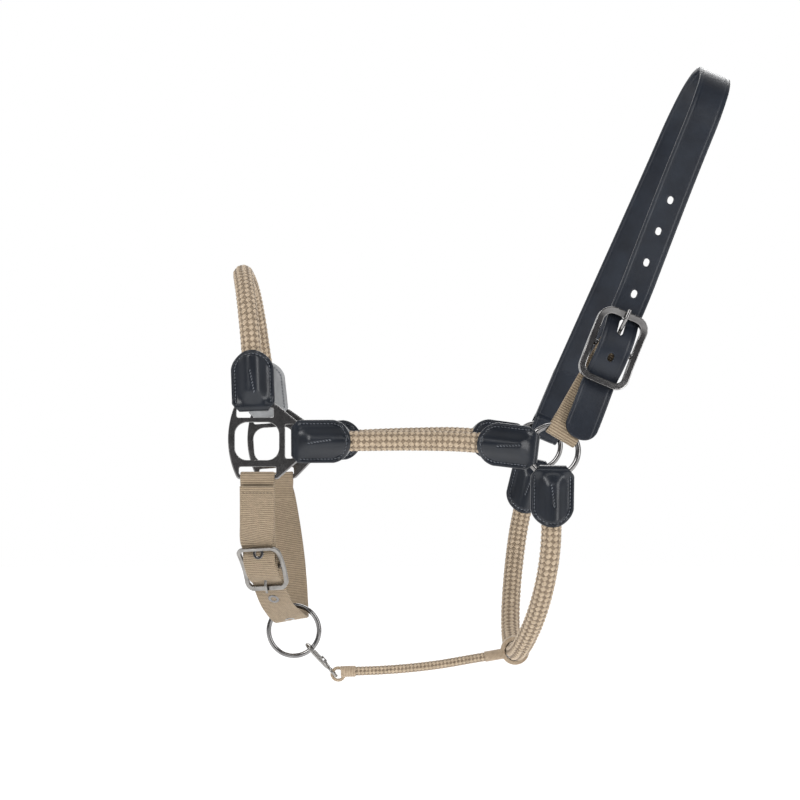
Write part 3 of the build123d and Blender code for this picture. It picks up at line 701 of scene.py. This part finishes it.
rounded("near_square", 0.30 * MM, 8, "noseband", DARK_METAL)
rounded("far_square", 0.30 * MM, 8, "noseband", DARK_METAL)
rounded("crown_buckle_frame", 0.30 * MM, 10, "crown", DARK_METAL)
rounded("crown_buckle_tongue", 0.25 * MM, 3, "crown_tongue", DARK_METAL)
rounded("chin_buckle_frame", 0.22 * MM, 9, "noseband", NICKEL)
rounded("chin_buckle_tongue", 0.2 * MM, 3, "chin_tongue", NICKEL)
rounded("snap_hook", 0.2 * MM, 3, "noseband", NICKEL)
rounded("snap_gate", 0.15 * MM, 2, "snap_gate", NICKEL)
for name in ("chin_top_eyelet", "chin_middle_eyelet", "chin_low_eyelet"):
    rounded(name, 0.15 * MM, 3, "noseband", DARK_METAL)


NEAR_RING = RING - Vector((0, RING_Y, 0))
RING_STEPS = 128
WIRE_SIDES = 20


def ring(node, centre, radius, wire, body):
    """A wire ring with its small weld bead."""
    rings = []
    for k in range(RING_STEPS):
        angle = 2 * math.pi * k / RING_STEPS
        out = Vector((math.cos(angle), 0, math.sin(angle)))
        thick = wire * (1 + 0.05 * math.exp(-(((angle - 2.2) / 0.05) ** 2)))
        rings.append([
            centre + out * (radius + thick * math.cos(2 * math.pi * j / WIRE_SIDES))
            + Vector((0, 1, 0)) * (thick * math.sin(2 * math.pi * j / WIRE_SIDES))
            for j in range(WIRE_SIDES)
        ])
    builder = Builder()
    builder.tube(rings, closed=True)
    builder.make(node + "_wire", [DARK_METAL], body, "dark_metal", (node,))


ring("near_cheek_ring", NEAR_RING, RING_RADIUS, RING_WIRE, "near_ring")
ring("far_cheek_ring", RING + Vector((0, RING_Y, 0)), RING_RADIUS, RING_WIRE, "far_ring")
ring("chin_ring", CHIN_RING, CHIN_RING_RADIUS, CHIN_RING_WIRE, "chin_ring")

# Webbing: ribbed strips laid along their stations

WEBBING_COLUMNS = 14
RIB_STEPS = 6
RIB_DEPTH = 0.3 * MM
CHIN_RIB = 1.5
CROWN_RIB = 1.9


def catmull(stations, parts=12):
    """A smooth line through stations, each a centre and a width direction."""
    count = len(stations)
    result = []
    for k in range(count - 1):
        a, b, c, d = (stations[min(max(j, 0), count - 1)] for j in (k - 1, k, k + 1, k + 2))
        for part in range(parts):
            t = part / parts
            weights = (
                -0.5 * t + t * t - 0.5 * t**3, 1 - 2.5 * t * t + 1.5 * t**3,
                0.5 * t + 2 * t * t - 1.5 * t**3, -0.5 * t * t + 0.5 * t**3,
            )
            result.append(tuple(
                sum((s[i] * w for s, w in zip((a, b, c, d), weights)), Vector((0, 0, 0))) for i in (0, 1)
            ))
    result.append((stations[-1][0].copy(), stations[-1][1].copy()))
    return result


def webbing(name, stations, width, thickness, pitch, nodes, body, closed=False):
    """A woven strip: crosswise ribs, which the lengthwise yarns pass over by turns."""
    line = catmull(stations)
    reach = [0.0]
    for a, b in zip(line, line[1:]):
        reach.append(reach[-1] + (b[0] - a[0]).length)
    count = round(reach[-1] / (pitch * MM) * RIB_STEPS)
    samples = []
    at = 0
    for number in range(count if closed else count + 1):
        want = reach[-1] * number / count
        while at < len(line) - 2 and reach[at + 1] < want:
            at += 1
        share = (want - reach[at]) / max(reach[at + 1] - reach[at], 1e-9)
        samples.append(tuple(line[at][i].lerp(line[at + 1][i], share) for i in (0, 1)))
    along = tangents([s[0] for s in samples], closed)
    half = width * MM / 2
    rings = []
    painted_light_levels = []
    segments = 2 * WEBBING_COLUMNS
    for number, ((centre, across), t) in enumerate(zip(samples, along)):
        across = (across - t * across.dot(t)).normalized()
        out = across.cross(t)
        ring = []
        painted_light_level = []
        for face in (1, -1):
            for k in range(segments + 1):
                share = (k / segments * 2 - 1) * face
                edge = min(1.0, (1 - abs(share)) * half / (0.9 * MM))
                body_height = thickness / 2 * MM * (0.35 + 0.65 * math.sqrt(1 - (1 - edge) ** 2))
                turn = k if face == 1 else segments - k
                phase = 2 * math.pi * (number / RIB_STEPS + 0.07 * math.cos(math.pi * turn))
                rib = 0.5 + 0.5 * math.cos(phase)
                drop = RIB_DEPTH * (1 - rib) * (0.3 + 0.7 * edge)
                ring.append(centre + across * (half * share) + out * (face * (body_height - drop)))
                # Painted shade: darker in the grooves between ribs.
                painted_light_level.append(0.15 + 0.85 * rib)
        rings.append(ring)
        painted_light_levels.append(painted_light_level)
    builder = Builder()
    builder.tube(rings, 0, painted_light_levels, closed)
    return builder.make(name, [WEBBING_YARN], body, "webbing", nodes)


# Chin webbing: the buckle's own directions, then the strap from its free end to the far square

CHIN_BUCKLE = v(-333.3, -46.0, -364.6)
CHIN_UP = Vector((-0.22, -0.42, 0.88)).normalized()
CHIN_WIDTH = Vector((0.94, -0.33, 0.06))
CHIN_WIDTH = (CHIN_WIDTH - CHIN_UP * CHIN_WIDTH.dot(CHIN_UP)).normalized()
CHIN_OUT = CHIN_WIDTH.cross(CHIN_UP)
LEVEL = Vector((1, 0, 0))


def by_chin(along, outward):
    return CHIN_BUCKLE + (CHIN_UP * along + CHIN_OUT * outward) * MM


NEAR_BAR = NEAR_SQUARE[0] + (NEAR_SQUARE[1] * -3.5 + NEAR_SQUARE[2] * -25.4) * MM
FAR_BAR = FAR_SQUARE[0] + (FAR_SQUARE[1] * -3.5 + FAR_SQUARE[2] * -25.4) * MM

near_tail = [
    (v(-335.5, -64.9, -304), LEVEL), (v(-335.6, -62.6, -317), LEVEL),
    (v(-336.2, -58.2, -333), Vector((0.98, -0.15, 0))),
]
buckle_run = [
    (by_chin(a, o), CHIN_WIDTH)
    for a, o in (
        (21, -3.2), (14.6, -3.3), (9, 0.2), (4, 1.9), (-4, 1.9), (-9, 0.2), (-14.6, -3.3), (-21, -3.2),
    )
]
far_run = [
    (v(-323.6, -24, -393.6), Vector((0.96, -0.28, 0.1))),
    (v(-317.2, -11, -403.4), Vector((0.98, -0.12, 0.17))),
    (v(-314.1, 0, -406.7), Vector((0.985, 0, 0.17))),
    (v(-314.6, 10, -404.4), Vector((0.985, 0.05, 0.17))),
    (v(-315.6, 22, -396), Vector((0.99, 0, 0.12))), (v(-317, 32, -382), Vector((1, 0, 0.08))),
    (v(-319.4, 41, -362), Vector((1, 0, 0.05))), (v(-323, 49.5, -340), Vector((1, 0, 0.05))),
    (v(-327.0, 57.6, -320), Vector((1, 0, 0.06))),
]
far_loop = [
    (FAR_BAR + v(0, y, z), FAR_SQUARE[1])
    for y, z in (
        (1.4, -9.5), (2.9, -3.4), (2.6, 1.6), (0, 3.3),
        (-2.6, 1.6), (-2.9, -3.4), (-1.0, -9.5), (-3.0, -20.0),
    )
]
webbing(
    "chin_strap_webbing", near_tail + buckle_run + far_run + far_loop,
    25, WEBBING, CHIN_RIB, ("chin_strap",), "noseband",
)

# The row of stitches that closes the webbing's end under the near square

TAIL_OUT = Vector((0, -0.985, -0.174))
tail_stitches = Builder()
for k in range(-4, 5):
    place = v(-335.5 + 2.5 * k, -64.1, -308.5) + TAIL_OUT * (1.0 * MM)
    tail_stitches.stitch(place, LEVEL, TAIL_OUT, 0.95 * MM, 0.42 * MM, 0.35 * MM)
tail_stitches.make("chin_webbing_stitches", [TAN_THREAD], "noseband", "webbing")

# The chin chape: doubled webbing between the near square and the buckle's centre bar

CHAPE_HALF_GAP = 0.95
CHAPE = [
    (NEAR_BAR + v(0, 0, -6.0), LEVEL), (v(-335.5, -58.6, -312.0), LEVEL),
    (v(-335.8, -55.0, -329.0), Vector((0.99, -0.1, 0.0))), (by_chin(18.0, -7.0), CHIN_WIDTH),
    (by_chin(13.0, -7.0), CHIN_WIDTH), (by_chin(5.0, -4.2), CHIN_WIDTH),
]


def layer(stations, offset):
    """The same stations moved out of their face."""
    line = tangents([s[0] for s in stations])
    return [(c + w.cross(t).normalized() * (offset * MM), w) for (c, w), t in zip(stations, line)]


chin_bar = by_chin(0, -3.0)
lower = [
    (chin_bar + (CHIN_UP * a + CHIN_OUT * o) * MM, CHIN_WIDTH)
    for a, o in ((0.6, 2.55), (-1.9, 1.7), (-2.55, 0.0), (-1.9, -1.7), (0.6, -2.55))
]
upper = [
    (NEAR_BAR + v(0, y, z), LEVEL)
    for y, z in ((2.9, -3.0), (2.6, 1.6), (0, 3.2), (-2.6, 1.6), (-2.9, -3.0))
]
front = layer(CHAPE, -CHAPE_HALF_GAP)
back = layer(CHAPE, CHAPE_HALF_GAP)
webbing(
    "chin_chape_webbing", front + lower + back[::-1] + upper + front[:1], 24.6, 1.7, CHIN_RIB,
    ("chin_buckle_chape",), "noseband", closed=True,
)

# Crown chape: from the crown buckle's centre bar to the near ring

BUCKLE = (-75.6, -220.6)
TILT = math.radians(9.0)


def by_crown(along, outward):
    x = BUCKLE[0] + along * math.sin(TILT) - outward * math.cos(TILT)
    y = BUCKLE[1] + along * math.cos(TILT) + outward * math.sin(TILT)
    return crown(x, y)


crown_bar = by_crown(0, -3.6)
chape_up = (crown_bar - NEAR_RING).normalized()
chape_reach = (crown_bar - NEAR_RING).length / MM
chape_wide = WIDE - Vector((0, WIDE.y / 2, 0))
chape_wide = (chape_wide - chape_up * chape_wide.dot(chape_up)).normalized()
chape_out = chape_up.cross(chape_wide)
outline = [
    (1.95, 26.0), (3.2 + CHAPE_HALF_GAP, 38.0),
    (3.8 + CHAPE_HALF_GAP, chape_reach - 24.0), (2.9, chape_reach - 6.0),
    (3.6, chape_reach - 0.5), (2.6, chape_reach + 3.6), (0.0, chape_reach + 5.1), (-2.6, chape_reach + 3.6),
    (-3.6, chape_reach - 0.5), (-1.2, chape_reach - 6.5),
    (3.8 - CHAPE_HALF_GAP, chape_reach - 24.0), (3.2 - CHAPE_HALF_GAP, 38.0),
    (-1.0, 26.0), (-3.9, 19.5), (-3.4, 12.5), (0.0, 9.7), (3.4, 12.5), (3.9, 19.5), (1.95, 26.0),
]
webbing(
    "crown_chape_webbing",
    [(NEAR_RING + (chape_out * x + chape_up * y) * MM, chape_wide) for x, y in outline],
    23.0, WEBBING, CROWN_RIB, ("crown_buckle_chape",), "crown", closed=True,
)

# Thin cord loops at the connector's ends: softened copies with a twisted surface

for node in ("connector_front_loop", "connector_rear_loop"):
    mesh = softened(node, 0.25 * MM, 4)
    bound = np.empty(len(mesh.vertices) * 3, "f")
    mesh.vertices.foreach_get("co", bound)
    bound = bound.reshape(-1, 3) / MM
    turns = np.cos(5.2 * bound[:, 0] + 1.3 * bound[:, 1] + (3.1 * bound[:, 2] if "rear" in node else 0))
    shaped(mesh, lambda places, normals: 0.12 * MM * turns)
    # Painted shade: darker in the twist's sunk grooves.
    painted_light_level = mesh.attributes.new("painted_light_level", "FLOAT", "POINT")
    painted_light_level.data.foreach_set("value", (0.6 + 0.4 * turns).astype("f"))
    mesh.materials.append(ROPE_LIGHT)
    finish_piece(node + "_yarn", mesh, "noseband", (node,))

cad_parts["snap_pin"].data.materials.clear()
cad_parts["snap_pin"].data.materials.append(NICKEL)

# Floor, light and camera

FLOOR_HALF = 6.0
FLOOR_Z = -0.9
FLOOR_GLOW = 0.55
LIT_SPOT = (-0.2, 0, -0.25)

floor_paint = Paint("studio_floor", 0.9)
floor_paint.colour(floor_paint.ramp(floor_paint.noise(2.0), (0.92, 0.92, 0.92), (0.95, 0.95, 0.95)))
floor_paint.shader.inputs["Emission Color"].default_value = (1.0, 1.0, 1.0, 1.0)
floor_paint.shader.inputs["Emission Strength"].default_value = FLOOR_GLOW
floor_mesh = bpy.data.meshes.new("floor")
floor_mesh.from_pydata(
    [(x * FLOOR_HALF, y * FLOOR_HALF, FLOOR_Z) for x, y in ((-1, -1), (1, -1), (1, 1), (-1, 1))],
    [], [(0, 1, 2, 3)],
)
floor_mesh.materials.append(floor_paint.material)
floor = bpy.data.objects.new("floor", floor_mesh)
scene.collection.objects.link(floor)

world = bpy.data.worlds.new("studio")
scene.world = world
world.use_nodes = True
sky = world.node_tree.nodes
sky_place = sky.new("ShaderNodeTexCoord")
sky_split = sky.new("ShaderNodeSeparateXYZ")
sky_ramp = sky.new("ShaderNodeValToRGB")
sky_ramp.color_ramp.elements[0].position = 0.25
sky_ramp.color_ramp.elements[0].color = (0.19, 0.19, 0.197, 1.0)
sky_ramp.color_ramp.elements[1].position = 0.75
sky_ramp.color_ramp.elements[1].color = (1.0, 1.0, 1.0, 1.0)
sky_range = sky.new("ShaderNodeMapRange")
sky_range.inputs["From Min"].default_value = -1.0
world.node_tree.links.new(sky_place.outputs["Generated"], sky_split.inputs["Vector"])
world.node_tree.links.new(sky_split.outputs["Y"], sky_range.inputs["Value"])
world.node_tree.links.new(sky_range.outputs["Result"], sky_ramp.inputs["Fac"])
world.node_tree.links.new(sky_ramp.outputs["Color"], sky["Background"].inputs["Color"])
scene.view_settings.view_transform = "Standard"


def softbox(name, place, width, height, power):
    """A rectangular lamp that faces the halter."""
    light = bpy.data.lights.new(name, "AREA")
    light.shape = "RECTANGLE"
    light.size = width
    light.size_y = height
    light.energy = power
    lamp = bpy.data.objects.new(name, light)
    lamp.location = place
    lamp.rotation_euler = (Vector(LIT_SPOT) - Vector(place)).to_track_quat("-Z", "Y").to_euler()
    scene.collection.objects.link(lamp)


softbox("key", (-1.3, -1.2, 0.7), 0.6, 1.2, 20.0)
softbox("fill", (1.1, -1.1, 0.1), 0.45, 1.4, 14.0)
softbox("front", (-0.1, -1.9, 0.9), 1.2, 0.5, 6.0)
softbox("back", (0.1, 1.3, 0.9), 1.0, 0.6, 12.0)

camera_data = bpy.data.cameras.new("camera")
camera_data.lens = 85.32
camera_data.sensor_width = 36.0
camera = bpy.data.objects.new("camera", camera_data)
camera.location = (-0.233, -1.425, -0.242)
camera.rotation_euler = (math.radians(90), 0, 0)
scene.collection.objects.link(camera)
scene.camera = camera
